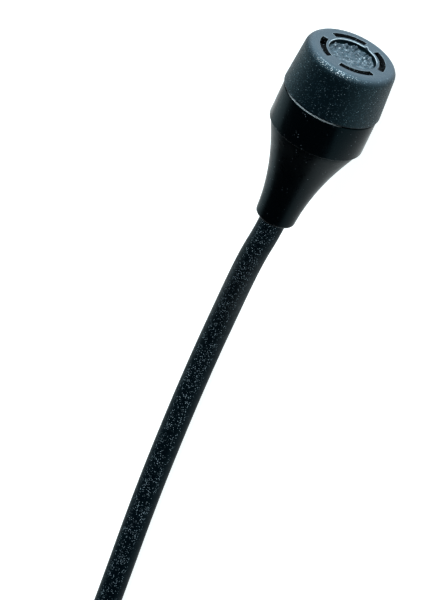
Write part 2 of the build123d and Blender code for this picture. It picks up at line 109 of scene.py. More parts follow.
HOUSING_BOTTOM_ROUND = 0.06
HOUSING_TOP_ROUND = 0.12
SPIGOT_ROUND = 0.1
BOOT_TOP_RADIUS = 3.45
BOOT_END_RADIUS = 1.5
BOOT_END = -10.81
BOOT_LIP_ROUND = 0.2
BOOT_LIP_FLARE = 0.02
BORE_CLEARANCE = 0.02
BORE_CHAMFER = 0.08
BOOT_CURVE = ((3.734, -2.985), (1.767, -6.017))
TURNED_STEPS = 256

# ---- Cord: its real length and thickness, and its route's points in metres ----
CABLE_RADIUS = 0.001
ROUTE = (
    (-0.006365, 0.0, 0.003742),
    (-0.0085, 0.0, 0.003742),
    (-0.0112, 0.0006, 0.0035),
    (-0.0144, 0.0015, 0.0027),
    (-0.0184, 0.00265, 0.00155),
    (-0.0226, 0.00315, 0.00102),
    (-0.0285, 0.0029, 0.001),
    (-0.036, 0.0023, 0.001),
    (-0.044, 0.00125, 0.001),
    (-0.051, 0.00045, 0.001),
)
COIL_COLUMNS = 6
COIL_LAYERS = 4
COIL_PITCH = 0.00202
LAYER_PITCH = 0.00201
COIL_OUTER_TURN = 0.0158
TURN_POINTS = 20
TIE_HALF_WIDTH = 0.003
TIE_LIFT = 0.00042
TIE_LIFT_REACH = 0.004
TIE_THICKNESS = 0.0004
TIE_CORNER = 0.0011
TIE_GAP = 0.0001
TIE_CLEARANCE = 0.00001
TIE_TOP_GAP = 0.00005
TIE_LAP_GAP = 0.00003
TIE_START = 0.0035
TIE_TIP_START, TIE_TIP_END = 0.0045, 0.0028
TIE_TIP_RISE = 0.0002
TIE_COLUMNS = 40
TIE_ROW = 0.0003
TIE_EDGE_WIDTH = 0.0002
TIE_EDGE_RISE, TIE_MIDDLE_RISE = 0.18, 0.22
WELT_START, WELT_END = 0.00025, 0.0008
WELT_RISE = 0.00003
WEAVE_RISE = 0.000015
WEAVE_WIDTH = 0.00015
WEAVE_TURN = 1.1

# ---- Latch spring ----
SPRING_CENTRE = ((SPRING_LOW[0] + SPRING_HIGH[0]) / 2, (SPRING_LOW[1] + SPRING_HIGH[1]) / 2)
SPRING_WIRE = 0.0001
SPRING_TURNS = 5
SPRING_TURN_STEPS = 32
SPRING_SIDES = 10

# ---- Camera, floor and lights ----
VIEW_AZIMUTH = 38.5
VIEW_ELEVATION = 37.0
VIEW_DISTANCE = 0.4
VIEW_OFFSET = (-0.00818, -0.01452)
VIEW_LENS = 334.56
FLOOR_REACH = 3.0
FLOOR_GLOW = 1.03
FLOOR_GLOW_COLOUR = (0.92, 0.99, 1.0, 1.0)
HORIZON = (0.12, 0.15, 0.16, 1)
ZENITH = (0.01, 0.013, 0.015, 1)
HORIZON_WIDTH = 0.25
LIGHTS = (
    # name, direction from the seam, distance, size, power, colour
    ("key", (1.0, 0.16, 0.06), 0.4, (0.2, 0.045), 2.9, (0.88, 0.97, 1.0)),
    ("overhead", (0.6, 0.15, 0.8), 0.8, (0.7, 0.7), 6.0, (0.92, 0.98, 1.0)),
    ("edge", (0.87, -0.36, 0.34), 0.5, (0.06, 0.06), 0.25, (0.88, 0.97, 1.0)),
    ("side", (-0.35, 0.85, 0.36), 0.8, (0.9, 0.55), 2.5, (0.72, 0.94, 1.0)),
)

# ---- Colours ----
WHITE = (1.0, 1.0, 1.0)
TEAL = (0.3, 0.82, 1.0)
FACE_GREYS = ((0.027, 0.04, 0.053), (0.037, 0.053, 0.069))
GRAIN_GREY = (0.052, 0.069, 0.087)
SIDE_SHADE = (0.0012, 0.0042, 0.007)
RECESS_GREY = (0.1, 0.13, 0.155)
PIT_SHADE = (0.005, 0.01, 0.014)
WALL_SHADE = (0.0008, 0.0025, 0.004)
FLECK_GLINT = (0.55, 0.64, 0.7)
FAINT_SPECK = (0.036, 0.07, 0.09)
GLINT_SPECK = (0.2, 0.29, 0.34)
BRIM_HIGHLIGHT = (0.36, 0.44, 0.49)
EDGE_HIGHLIGHT = (0.74, 0.87, 0.93)
STREAK_HIGHLIGHT = (0.62, 0.7, 0.75)
MESH_BLACK = (0.0006, 0.0016, 0.0026)
THREAD_GLINT = (0.5, 0.68, 0.78)
JACKET_BLACK = (0.001, 0.0045, 0.0075)
DUST_AND_GLINT_PALE = (0.6, 0.82, 0.95)

# ---- Places of the masks for painted shade, painted highlights and glints, dust, and the bumpy edge: radii or stations in millimetres, from where a mask is 0 to where it is 1 ----
SIDE_BAND = (3.1, 3.55)
GLINT_BAND = (2.95, 3.2)
RECESS_BAND = (RECESS_RADIUS - 0.02, RECESS_RADIUS - 0.1)
FLECK_BAND = (RECESS_RADIUS + 0.03, RECESS_RADIUS - 0.03)
WALL_BANDS = ((1.7, 1.79), (1.9, 1.85))
BELOW_BRIM = (CAP_LENGTH - 0.05, CAP_LENGTH - 0.1)
BRIM_BANDS = ((1.835, 1.85), (1.89, 1.87))
BRIM_TOP = (CAP_LENGTH - 0.075, CAP_LENGTH - 0.05)
EDGE_RADII, EDGE_STATIONS = (3.02, 3.16), (3.4, 3.58)
STREAK_RADII, STREAK_STATIONS = (3.06, 3.2), (3.5, 3.66)
FAR_SIDE_TURN = 326  # degrees about the head's axis
EDGE_HIGHLIGHT_TURN = 125
DUST_AND_GLINT_SIDE = (0.0, -0.64, 0.77)
WAVE_UNIT = math.pi / 10  # a wave texture's scale for bands one unit apart


# ---- Materials ----


class Look:
    """One material: a principled surface with textures placed on object coordinates."""

    def __init__(self, name, colour, roughness, metallic=0.0, specular=0.5, sheen=0.0, gloss=WHITE):
        self.material = bpy.data.materials.new(name)
        self.material.use_nodes = True
        self.tree = self.material.node_tree
        self.surface = self.tree.nodes["Principled BSDF"]
        self.set("Base Color", (*colour, 1.0))
        self.set("Roughness", roughness)
        self.set("Metallic", metallic)
        self.set("Specular IOR Level", specular)
        self.set("Sheen Weight", sheen)
        self.set("Specular Tint", (*gloss, 1.0))
        self.place = self.tree.nodes.new("ShaderNodeTexCoord").outputs["Object"]
        self.normal = None

    def set(self, socket, value):
        """Gives a socket of the surface a constant or a link."""
        if isinstance(value, bpy.types.NodeSocket):
            self.tree.links.new(value, self.surface.inputs[socket])
        else:
            self.surface.inputs[socket].default_value = value

    def node(self, kind, inputs=(), **settings):
        """Adds a node, sets its properties, and gives its inputs constants or links by name."""
        made = self.tree.nodes.new(kind)
        for key, value in settings.items():
            setattr(made, key, value)
        for key, value in dict(inputs).items():
            if isinstance(value, bpy.types.NodeSocket):
                self.tree.links.new(value, made.inputs[key])
            else:
                made.inputs[key].default_value = value
        return made

    def noise(self, size_mm, detail=2.0, roughness=0.5, place=None):
        """Smooth noise whose features are about size_mm across."""
        inputs = {"Vector": place or self.place, "Scale": 1 / (size_mm * MM)}
        inputs.update({"Detail": detail, "Roughness": roughness})
        return self.node("ShaderNodeTexNoise", inputs).outputs["Fac"]

    def cells(self, size_mm):
        """Distance to the nearest random point, and that point's random colour."""
        made = self.node("ShaderNodeTexVoronoi", {"Vector": self.place, "Scale": 1 / (size_mm * MM)})
        return made.outputs["Distance"], made.outputs["Color"]

    def stretched(self, scale):
        """The coordinates scaled unevenly along X, Y and Z."""
        return self.node("ShaderNodeMapping", {"Vector": self.place, "Scale": scale}).outputs["Vector"]

    def steps(self, value, low, high, out_low=0.0, out_high=1.0):
        """Maps low..high to out_low..out_high smoothly and clamps it."""
        inputs = {"Value": value, "From Min": low, "From Max": high}
        inputs.update({"To Min": out_low, "To Max": out_high})
        return self.node("ShaderNodeMapRange", inputs, interpolation_type="SMOOTHSTEP").outputs["Result"]

    def maths(self, operation, first, second=0.0):
        """A sum, product or other operation on two values."""
        made = self.node("ShaderNodeMath", operation=operation)
        for socket, value in zip(made.inputs, (first, second)):
            if isinstance(value, bpy.types.NodeSocket):
                self.tree.links.new(value, socket)
            else:
                socket.default_value = value
        return made.outputs["Value"]

    def tint(self, factor, low, high):
        """Blends two colours by a factor and makes them the base colour."""
        made = self.node("ShaderNodeMix", data_type="RGBA")
        self.tree.links.new(factor, made.inputs["Factor"])
        for name, colour in (("A", low), ("B", high)):
            socket = [s for s in made.inputs if s.name == name and s.type == "RGBA"][0]
            if isinstance(colour, bpy.types.NodeSocket):
                self.tree.links.new(colour, socket)
            else:
                socket.default_value = (*colour, 1.0)
        result = [s for s in made.outputs if s.type == "RGBA"][0]
        self.set("Base Color", result)
        return result

    def bump(self, height, strength, distance_mm):
        """Stacks a bump on the surface's normal."""
        inputs = {"Height": height, "Strength": strength, "Distance": distance_mm * MM}
        if self.normal:
            inputs["Normal"] = self.normal
        self.normal = self.node("ShaderNodeBump", inputs).outputs["Normal"]
        self.set("Normal", self.normal)

    def vectors(self, operation, first, second=(0.0, 0.0, 0.0)):
        """An operation on two vectors, as the node that does it."""
        return self.node("ShaderNodeVectorMath", {0: first, 1: second}, operation=operation)

    def from_axis(self):
        """The vector from the head's axis to the point."""
        centred = self.vectors("SUBTRACT", self.place, SEAM)
        return self.vectors("MULTIPLY", centred.outputs[0], (0, 1, 1)).outputs[0]

    def radius(self):
        """Distance from the head's axis, in millimetres."""
        length = self.vectors("LENGTH", self.from_axis())
        return self.maths("DIVIDE", length.outputs["Value"], MM)

    def station(self):
        """Distance from the seam along the head's axis, in millimetres."""
        across = self.node("ShaderNodeSeparateXYZ", {0: self.place}).outputs["X"]
        return self.maths("DIVIDE", self.maths("SUBTRACT", across, SEAM_X), MM)

    def facing(self, degrees):
        """Cosine of the angle round the head's axis between a point and a direction."""
        angle = math.radians(degrees)
        unit = self.vectors("NORMALIZE", self.from_axis())
        direction = (0, math.cos(angle), math.sin(angle))
        return self.vectors("DOT_PRODUCT", unit.outputs[0], direction).outputs["Value"]

    def leaning(self, direction, low, high):
        """A mask of the surfaces that face a direction, where the dust and painted glints go."""
        normal = self.tree.nodes.new("ShaderNodeNewGeometry").outputs["Normal"]
        return self.steps(self.vectors("DOT_PRODUCT", normal, direction).outputs["Value"], low, high)

    def both(self, *masks):
        """The product of several masks."""
        whole = masks[0]
        for mask in masks[1:]:
            whole = self.maths("MULTIPLY", whole, mask)
        return whole

    def specks(self, size_mm, share, radius=0.4, clusters_mm=0.0):
        """A mask of small random specks that covers about a share of the cells."""
        distance, colour = self.cells(size_mm)
        pick = self.node("ShaderNodeSeparateColor", {"Color": colour}).outputs["Red"]
        chosen = self.steps(pick, 1 - share, 1 - share + 0.01)
        mask = self.maths("MULTIPLY", chosen, self.steps(distance, radius, radius * 0.5))
        if clusters_mm:
            mask = self.maths("MULTIPLY", mask, self.steps(self.noise(clusters_mm), 0.38, 0.6))
        return mask


def cap_plastic():
    """Dark grey plastic: a sandy face; a speckled side painted far darker as shade, with painted glints; a
    recess with painted shade, painted glints and a painted highlight along its brim; and a sparkling edge
    with a painted highlight streak.
    """
    look = Look("cap_plastic", FACE_GREYS[0], 0.5, specular=0.19, gloss=TEAL)
    grain = look.noise(0.07, 3.0, 0.6)
    radius = look.radius()
    station = look.station()
    on_side = look.steps(radius, *SIDE_BAND)
    colour = look.tint(look.noise(0.5, 4.0), *FACE_GREYS)
    colour = look.tint(look.maths("MULTIPLY", grain, 0.6), colour, GRAIN_GREY)
    # Painted shade: the cap's side is painted far darker than its face.
    colour = look.tint(on_side, colour, SIDE_SHADE)
    colour = recess_colour(look, colour, radius, station)
    colour = look.tint(look.both(look.specks(0.08, 0.4, 0.4), on_side), colour, FAINT_SPECK)
    # Painted glints: bright specks over the cap's rounded edge and side.
    glints = look.both(look.specks(0.08, 0.065, 0.38), look.steps(radius, *GLINT_BAND))
    colour = look.tint(glints, colour, GLINT_SPECK)
    highlight_colour(look, colour, radius, station)
    look.set("Roughness", look.steps(grain, 0.3, 0.7, 0.36, 0.6))
    look.bump(grain, 0.5, 0.03)
    look.bump(look.cells(0.13)[0], 0.3, 0.03)
    edge = look.both(look.steps(radius, *EDGE_RADII), look.steps(station, *EDGE_STATIONS))
    look.bump(look.both(look.cells(0.09)[0], edge), 0.6, 0.03)
    return look.material


def recess_colour(look, colour, radius, station):
    """Adds the recess's pale floor, painted shade in pits towards its far side and on its wall, and painted
    glints as white flecks on its floor.
    """
    inside = look.steps(radius, *RECESS_BAND)
    across = look.maths("MULTIPLY", look.facing(FAR_SIDE_TURN), radius)
    rough_part = look.both(inside, look.steps(across, -1.1, 0.6, 0.25, 1.0))
    pale = look.both(inside, look.steps(look.noise(0.3, 3.0), 0.45, 0.7))
    colour = look.tint(pale, colour, RECESS_GREY)
    # Painted shade: dark pits in the recess floor, more of them towards the far side.
    pit_shade = look.both(look.steps(look.noise(0.22, 3.0, 0.6), 0.48, 0.4), rough_part)
    colour = look.tint(look.maths("MULTIPLY", pit_shade, 0.8), colour, PIT_SHADE)
    # Painted shade: the recess's wall under the brim is painted black.
    wall = look.both(*[look.steps(radius, *band) for band in WALL_BANDS], look.steps(station, *BELOW_BRIM))
    colour = look.tint(wall, colour, WALL_SHADE)
    # Painted glints: white flecks on the recess floor, more of them towards the far side.
    glint_flecks = look.both(look.specks(0.13, 0.22, 0.42, 0.6), look.steps(radius, *FLECK_BAND), rough_part)
    return look.tint(glint_flecks, colour, FLECK_GLINT)


def highlight_colour(look, colour, radius, station):
    """Adds painted highlights: a pale line along the recess's brim on its far side, and a glittering streak
    along the cap's edge.
    """
    brim_top = look.steps(station, *BRIM_TOP)
    brim_side = look.steps(look.facing(FAR_SIDE_TURN), -0.2, 0.15)
    brim = look.both(*[look.steps(radius, *band) for band in BRIM_BANDS], brim_top, brim_side)
    # Painted highlight: a pale line along the recess's brim, on its far side only.
    brim_highlight = look.both(brim, look.steps(look.noise(0.3, 2.0), 0.3, 0.55, 0.25, 1.0))
    colour = look.tint(brim_highlight, colour, BRIM_HIGHLIGHT)
    # Painted highlight: a streak of pale specks along the cap's rounded edge, at one turn only.
    near_turn = look.steps(look.facing(EDGE_HIGHLIGHT_TURN - 1), 0.72, 0.99)
    streak = look.both(look.steps(radius, *STREAK_RADII), look.steps(station, *STREAK_STATIONS), near_turn)
    look.tint(look.both(look.specks(0.065, 0.45, 0.45), streak), colour, STREAK_HIGHLIGHT)


def cap_lip_highlight():
    """The rounded lips of the slots, painted lighter than the face as a highlight."""
    look = Look("cap_lip_highlight", (0.1, 0.14, 0.17), 0.45, specular=0.3)
    look.tint(look.noise(0.2, 3.0), (0.06, 0.09, 0.11), (0.2, 0.26, 0.3))
    look.bump(look.noise(0.07, 3.0), 0.3, 0.02)
    return look.material


def slot_shade():
    """The cap's plastic inside its slots, painted dull black as shade, with faint painted glints."""
    look = Look("slot_shade", (0.0015, 0.002, 0.0025), 0.9, specular=0.1)
    colour = look.tint(look.noise(0.15, 3.0), (0.0005, 0.0012, 0.002), (0.0015, 0.003, 0.004))
    look.tint(look.specks(0.09, 0.2, 0.4), colour, (0.07, 0.1, 0.12))
    look.bump(look.noise(0.08, 3.0), 0.4, 0.03)
    return look.material


def screen_mesh():
    """Black acoustic mesh behind the slots, with a few glinting threads."""
    look = Look("screen_mesh", MESH_BLACK, 0.7, specular=0.1)
    look.tint(look.specks(0.1, 0.3, 0.42), MESH_BLACK, THREAD_GLINT)
    look.bump(look.cells(0.12)[0], 0.5, 0.04)
    return look.material


def housing_black():
    """Smooth satin black with a painted highlight along its top edge and a few specks of dust."""
    return satin_black("housing_black", (0.0005, 0.0014, 0.0022), 0.24, 0.065, 0.04, HOUSING_TOP)


def boot_rubber():
    """Smooth black rubber."""
    return satin_black("boot_rubber", (0.0005, 0.0013, 0.002), 0.3, 0.06, 0.03)


def satin_black(name, grey, roughness, specular, dust, highlight_edge=None):
    """Smooth black, with faint unevenness, specks of dust and, if asked, a painted highlight along one edge.
    """
    look = Look(name, grey, roughness, specular=specular, gloss=TEAL)
    colour = look.tint(look.specks(0.11, dust, 0.4, 1.6), grey, (0.12, 0.15, 0.17))
    if highlight_edge is not None:
        # Painted highlight: a pale line along the edge, on one side only.
        at_edge = look.steps(look.station(), highlight_edge - 0.04, highlight_edge - 0.02)
        near_turn = look.steps(look.facing(EDGE_HIGHLIGHT_TURN - 6), 0.72, 0.93)
        uneven = look.steps(look.noise(0.3, 2.0), 0.2, 0.4, 0.4, 1.0)
        look.tint(look.both(at_edge, near_turn, uneven), colour, EDGE_HIGHLIGHT)
    look.set("Roughness", look.steps(look.noise(0.6, 4.0), 0.3, 0.7, roughness - 0.04, roughness + 0.05))
    look.bump(look.noise(0.12, 2.0), 0.06, 0.02)
    return look.material


def cable_jacket():
    """Matt black jacket with pale specks on its upper side: dust and painted glints together."""
    look = Look("cable_jacket", JACKET_BLACK, 0.46, specular=0.05, gloss=TEAL)
    fine = look.specks(0.07, 0.26, 0.37, 0.7)
    sparse = look.specks(0.08, 0.14, 0.36)
    # Dust and painted glints: pale specks on the surfaces that face one direction.
    dust = look.both(look.maths("MAXIMUM", fine, sparse), look.leaning(DUST_AND_GLINT_SIDE, 0.56, 0.92))
    look.tint(dust, JACKET_BLACK, DUST_AND_GLINT_PALE)
    look.set("Roughness", look.steps(look.noise(0.4, 3.0), 0.3, 0.7, 0.4, 0.56))
    look.bump(look.noise(0.09, 3.0, 0.6), 0.25, 0.02)
    return look.material


def woven(name, colour, light, pitch_mm):
    """A plain weave drawn by two crossed waves, with fuzz."""
    look = Look(name, colour, 0.8, sheen=0.3)
    waves = []
    for direction in ("X", "Y"):
        inputs = {"Vector": look.place, "Scale": WAVE_UNIT / (pitch_mm * MM), "Distortion": 0.6}
        waves.append(look.node("ShaderNodeTexWave", inputs, bands_direction=direction).outputs["Fac"])
    weave = look.maths("MULTIPLY", *waves)
    look.tint(look.maths("ADD", look.specks(0.12, 0.12), look.maths("MULTIPLY", weave, 0.3)), colour, light)
    look.bump(weave, 0.5, 0.04)
    look.bump(look.noise(0.05, 3.0), 0.3, 0.02)
    return look.material


def metal(name, colour, roughness, metallic=1.0):
    """Turned or drawn metal with fine lines and slight colour variation."""
    look = Look(name, colour, roughness, metallic=metallic)
    lines = look.noise(0.5, 4.0, place=look.stretched((1.0, 12.0, 12.0)))
    darker = tuple(c * 0.8 for c in colour)
    look.tint(lines, darker, colour)
    look.set("Roughness", look.steps(lines, 0.3, 0.7, roughness - 0.06, roughness + 0.08))
    look.bump(lines, 0.08, 0.01)
    return look.material


def moulded(name, colour, roughness, size_mm=0.3):
    """Moulded plastic or rubber with a faint mottle and fine bumps."""
    look = Look(name, colour, roughness)
    lighter = tuple(min(1.0, c * 1.35) for c in colour)
    look.tint(look.noise(size_mm, 4.0), colour, lighter)
    mottle = look.noise(size_mm / 2, 3.0)
    look.set("Roughness", look.steps(mottle, 0.3, 0.7, roughness - 0.05, roughness + 0.07))
    look.bump(look.noise(size_mm / 4, 3.0), 0.15, 0.02)
    return look.material


def make_looks():
    """Every material slot of the record, by name."""
    return {
        "cap_plastic": cap_plastic(),
        "screen_mesh": screen_mesh(),
        "foam": moulded("foam", (0.03, 0.032, 0.035), 0.9, size_mm=0.15),
        "seal_rubber": moulded("seal_rubber", (0.015, 0.016, 0.017), 0.6),
        "housing_black": housing_black(),
        "boot_rubber": boot_rubber(),
        "can_aluminium": metal("can_aluminium", (0.78, 0.78, 0.8), 0.3),
        "brass": metal("brass", (0.78, 0.58, 0.28), 0.3),
        "film": moulded("film", (0.7, 0.68, 0.6), 0.25),
        "insulator": moulded("insulator", (0.02, 0.021, 0.023), 0.5),
        "board": moulded("board", (0.02, 0.12, 0.05), 0.35),
        "chip": moulded("chip", (0.015, 0.015, 0.016), 0.45),
        "ceramic": moulded("ceramic", (0.45, 0.32, 0.18), 0.4),
        "cloth": woven("cloth", (0.01, 0.011, 0.012), (0.05, 0.055, 0.06), 0.12),
        "solder": metal("solder", (0.7, 0.7, 0.72), 0.2),
        "lead_red": moulded("lead_red", (0.4, 0.02, 0.02), 0.45),
        "lead_blue": moulded("lead_blue", (0.02, 0.05, 0.35), 0.45),
        "lead_bare": metal("lead_bare", (0.7, 0.66, 0.58), 0.35),
        "cable_jacket": cable_jacket(),
        "tie_fabric": woven("tie_fabric", (0.008, 0.009, 0.01), (0.05, 0.055, 0.06), 0.35),
        "shell_metal": metal("shell_metal", (0.03, 0.031, 0.034), 0.32, metallic=0.85),
        "gold": metal("gold", (0.85, 0.62, 0.25), 0.22),
        "steel": metal("steel", (0.6, 0.6, 0.6), 0.28),
        "latch_metal": metal("latch_metal", (0.55, 0.55, 0.57), 0.3),
    }


# ---- Mesh building ----


def add_object(name, data, body, slot, look, *replaced):
    """Links a piece, gives it its body and material, and hides the nodes it stands for; the slot is not
    used.
    """
    piece = bpy.data.objects.new(name, data)
    bpy.context.scene.collection.objects.link(piece)
    data.materials.append(look)
    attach(piece, body)
    if replaced:
        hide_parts(*replaced)
    return piece


def new_mesh(name, points, faces, slots=None):
    """A mesh from points and faces, with each face's material slot where there are several."""
    mesh = bpy.data.meshes.new(name)
    mesh.from_pydata(points, [], faces)
    if slots:
        mesh.polygons.foreach_set("material_index", slots)
    mesh.validate()
    mesh.update()
    return mesh


def smooth(mesh, angle=35):
    """Joins doubled points, turns faces outward, and shades smoothly but for edges sharper than an angle."""
    shape = bmesh.new()
    shape.from_mesh(mesh)
    bmesh.ops.remove_doubles(shape, verts=shape.verts, dist=1e-8)
    bmesh.ops.recalc_face_normals(shape, faces=shape.faces)
    shape.to_mesh(mesh)
    shape.free()
    mesh.shade_smooth()
    mesh.set_sharp_from_angle(angle=math.radians(angle))
    return mesh


def arc(centre, radius, start, end, steps=8):
    """Points (station, radius) along an arc, with angles in degrees from the axis direction."""
    spots = []
    for n in range(steps + 1):
        angle = math.radians(start + (end - start) * n / steps)
        spots.append((centre[0] + radius * math.cos(angle), centre[1] + radius * math.sin(angle)))
    return spots


def rounding(station, outer, size, start, end, steps):
    """An arc that rounds an edge off just inside an outer radius."""
    return arc((station, outer - size), size, start, end, steps)


def curve_points(corners, steps=40):
    """Points along a cubic Bezier curve with the four given control points."""
    spots = []
    for n in range(steps + 1):
        t = n / steps
        weights = ((1 - t) ** 3, 3 * t * (1 - t) ** 2, 3 * t * t * (1 - t), t**3)
        spots.append(tuple(sum(w * c[k] for w, c in zip(weights, corners)) for k in (0, 1)))
    return spots


def turned(name, outline):
    """A mesh turned about the head's axis from a closed outline of (station, radius) in millimetres."""
    rings = []
    for n in range(TURNED_STEPS):
        angle = 2 * math.pi * n / TURNED_STEPS
        rings.append([(s, r * math.cos(angle), r * math.sin(angle)) for s, r in outline])
    count = len(outline)
    points = [Vector(p) * MM + SEAM for ring in rings for p in ring]
    faces = []
    for n in range(TURNED_STEPS):
        here, there = n * count, (n + 1) % TURNED_STEPS * count
        for k in range(count):
            after = (k + 1) % count
            faces.append((here + k, here + after, there + after, there + k))
    return smooth(new_mesh(name, points, faces))


# ---- Head ----


def housing_outline():
    """The housing's section: up its outside from the bottom, over the spigot and back down the bore."""
    top, bottom, outer = HOUSING_TOP, HOUSING_BOTTOM, HOUSING_RADIUS
    return [
        (bottom, HOUSING_BORE),
        (bottom, outer - HOUSING_BOTTOM_ROUND),
        *rounding(bottom + HOUSING_BOTTOM_ROUND, outer, HOUSING_BOTTOM_ROUND, 180, 90, 4)[1:],
        *rounding(top - HOUSING_TOP_ROUND, outer, HOUSING_TOP_ROUND, 90, 0, 8),
        (top, SPIGOT_RADIUS),
        *rounding(SPIGOT_TOP - SPIGOT_ROUND, SPIGOT_RADIUS, SPIGOT_ROUND, 90, 0, 4),
        (SPIGOT_TOP, HOUSING_BORE),
    ]


def boot_outline():
    """The trumpet's section, down the flare, round the lip and back up the bore."""
    top = (HOUSING_BOTTOM, BOOT_TOP_RADIUS)
    lip_start = BOOT_END + BOOT_LIP_ROUND
    lip_radius = BOOT_END_RADIUS + BOOT_LIP_FLARE
    bends = [(station, radius) for radius, station in BOOT_CURVE]
    flare = curve_points([top, *bends, (lip_start, lip_radius)])
    lip = rounding(lip_start, lip_radius, BOOT_LIP_ROUND, 90, 180, 6)[1:]
    bore = CABLE_RADIUS / MM + BORE_CLEARANCE
    chamfer = [(BOOT_END, bore + BORE_CHAMFER), (BOOT_END + BORE_CHAMFER, bore)]
    return [(HOUSING_BOTTOM, bore), *flare, *lip, *chamfer]


def cap_rings():
    """The cap's radial stations over its roof and down its side, outside first and then inside."""
    face = CAP_LENGTH
    floor = face - RECESS_DEPTH
    lean = math.degrees(math.atan((CAP_RIM_RADIUS - CAP_FACE_RADIUS) / CAP_LENGTH))
    edge = CAP_FACE_RADIUS - CAP_EDGE_ROUND * math.tan(math.radians(90 - lean) / 2)
    recess = [(floor, RECESS_RADIUS * n / RECESS_RINGS) for n in range(1, RECESS_RINGS)]
    wall = [(floor + 0.02, RECESS_RADIUS - 0.005)]
    wall += [(floor + rise, RECESS_RADIUS) for rise in (0.08, 0.14, 0.2)]
    brim = arc((face - RECESS_ROUND, RECESS_RADIUS + RECESS_ROUND), RECESS_ROUND, -90, 0, 8)
    slot_rings = [(face, SLOT_RINGS_START + SLOT_RINGS_STEP * n) for n in range(SLOT_RINGS)]
    flat_start = SLOT_RINGS_START + SLOT_RINGS_STEP * (SLOT_RINGS + 1)
    flat = [(face, flat_start + (edge - flat_start) * n / 3) for n in range(4)]
    side_round = arc((face - CAP_EDGE_ROUND, edge), CAP_EDGE_ROUND, 0, 90 - lean, 14)[1:]
    rim = rounding(CAP_RIM_ROUND, CAP_RIM_RADIUS, CAP_RIM_ROUND, 90, 180, 5)
    side = []
    for n in range(1, CAP_SIDE_RINGS):
        side.append(tuple(a + (b - a) * n / CAP_SIDE_RINGS for a, b in zip(side_round[-1], rim[0])))
    inside = [(0, CAP_BORE_RADIUS), (CAP_BORE_DEPTH, CAP_BORE_RADIUS), (CAP_BORE_DEPTH, CAP_CHAMBER_RADIUS)]
    inside += [(CAP_CHAMBER_TOP, CAP_CHAMBER_RADIUS)]
    ceiling = [(CAP_CHAMBER_TOP, radius) for _, radius in reversed(slot_rings)]
    ceiling += [(CAP_CHAMBER_TOP, radius) for radius in CAP_CEILING_RADII]
    return [*recess, *wall, *brim, *slot_rings, *flat, *side_round, *side, *rim, *inside, *ceiling]


def slot_depth(radius, degrees):
    """How far a point of the roof lies inside a slot, from 0 outside to 1 well inside."""
    spacing = 360 / SLOT_COUNT
    turn = (degrees - SLOT_TURN + spacing / 2) % spacing - spacing / 2
    middle = (SLOT_INNER + SLOT_OUTER) / 2
    half_width = (SLOT_OUTER - SLOT_INNER) / 2
    half_length = math.radians(SLOT_SPAN / 2) * middle
    across = abs(radius - middle) - (half_width - SLOT_CORNER)
    along = abs(math.radians(turn)) * middle - (half_length - SLOT_CORNER)
    inside = SLOT_CORNER - math.hypot(max(across, 0), max(along, 0)) - min(max(across, along), 0)
    if inside > SLOT_LIP:
        return 1.0
    return 0.05 * max(0.0, inside / SLOT_LIP) ** 2


def recess_lump(y, z, radius):
    """Height of the recess's rough floor above its plane."""
    spot = Vector((y * LUMPS_PER_MM, z * LUMPS_PER_MM, LUMP_SLICE))
    coarse = max(0.0, noise.noise(spot))
    middle, fine = (noise.noise(spot * finer) for finer in LUMP_FINER)
    turn = math.radians(FAR_SIDE_TURN)
    far = (y * math.cos(turn) + z * math.sin(turn) + 1.0) / 1.6
    rim = min(1.0, max(0.0, (radius - 0.4) / 0.9)) * min(1.0, max(0.35, far))
    edge = min(1.0, (RECESS_RADIUS - radius) / 0.12)
    big, small, finest = LUMP_RISES
    return (big * coarse * (0.2 + 0.8 * rim) + small * middle * rim + finest * fine) * edge


def burr(y, z):
    """Height of the small moulding burr on the brim of the recess."""
    away = math.hypot(y - BURR_PLACE[0], z - BURR_PLACE[1]) / BURR_SIZE
    return BURR_RISE * math.exp(-(away**2))


def cap_mesh():
    """The cap as one turned grid, with the slots sunk through its roof and a lumpy recess."""
    outline = cap_rings()
    count = len(outline)
    face = CAP_LENGTH
    points = [SEAM + Vector((face - RECESS_DEPTH, 0, 0)) * MM, SEAM + Vector((CAP_CHAMBER_TOP, 0, 0)) * MM]
    sunk = {}
    for n in range(CAP_STEPS):
        degrees = 360 * n / CAP_STEPS + CAP_START_TURN
        angle = math.radians(degrees)
        for k, (station, radius) in enumerate(outline):
            y, z = radius * math.cos(angle), radius * math.sin(angle)
            if radius < RECESS_RADIUS - 0.01 and station < face:
                station += recess_lump(y, z, radius)
            elif station == face and radius > 2.0:
                depth = slot_depth(radius, degrees)
                sunk[len(points)] = depth
                station -= depth * (face - CAP_CHAMBER_TOP)
            elif station == CAP_CHAMBER_TOP:
                sunk[len(points)] = slot_depth(radius, degrees)
            elif radius < 2.0:
                station += burr(y, z)
            points.append(SEAM + Vector((station, y, z)) * MM)
    faces = []
    walls = []
    for n in range(CAP_STEPS):
        here, there = 2 + n * count, 2 + (n + 1) % CAP_STEPS * count
        faces.append((0, here, there))
        faces.append((1, there + count - 1, here + count - 1))
        walls += [0, 0]
        for k in range(count - 1):
            quad = (here + k, here + k + 1, there + k + 1, there + k)
            depths = [sunk.get(v, 0) for v in quad]
            if min(depths) < 1:
                faces.append(quad)
                # Material 1 is the slots' painted shade and material 2 the lips' painted highlight.
                walls.append(1 if max(depths) == 1 else 2 if max(depths) > 0 else 0)
    return smooth(new_mesh("grille_cap_shell", points, faces, walls), 60)


def make_head(looks):
    """The cap, housing and boot."""
    cap = add_object("cap_shell", cap_mesh(), "cap", "cap_plastic", looks["cap_plastic"], "grille_cap")
    cap.data.materials.append(slot_shade())
    cap.data.materials.append(cap_lip_highlight())
    housing = turned("housing_tube", housing_outline())
    add_object("housing_tube", housing, "microphone", "housing_black", looks["housing_black"], "housing")
    boot = turned("boot", boot_outline())
    add_object("boot", boot, "microphone", "boot_rubber", looks["boot_rubber"], "bend_relief")


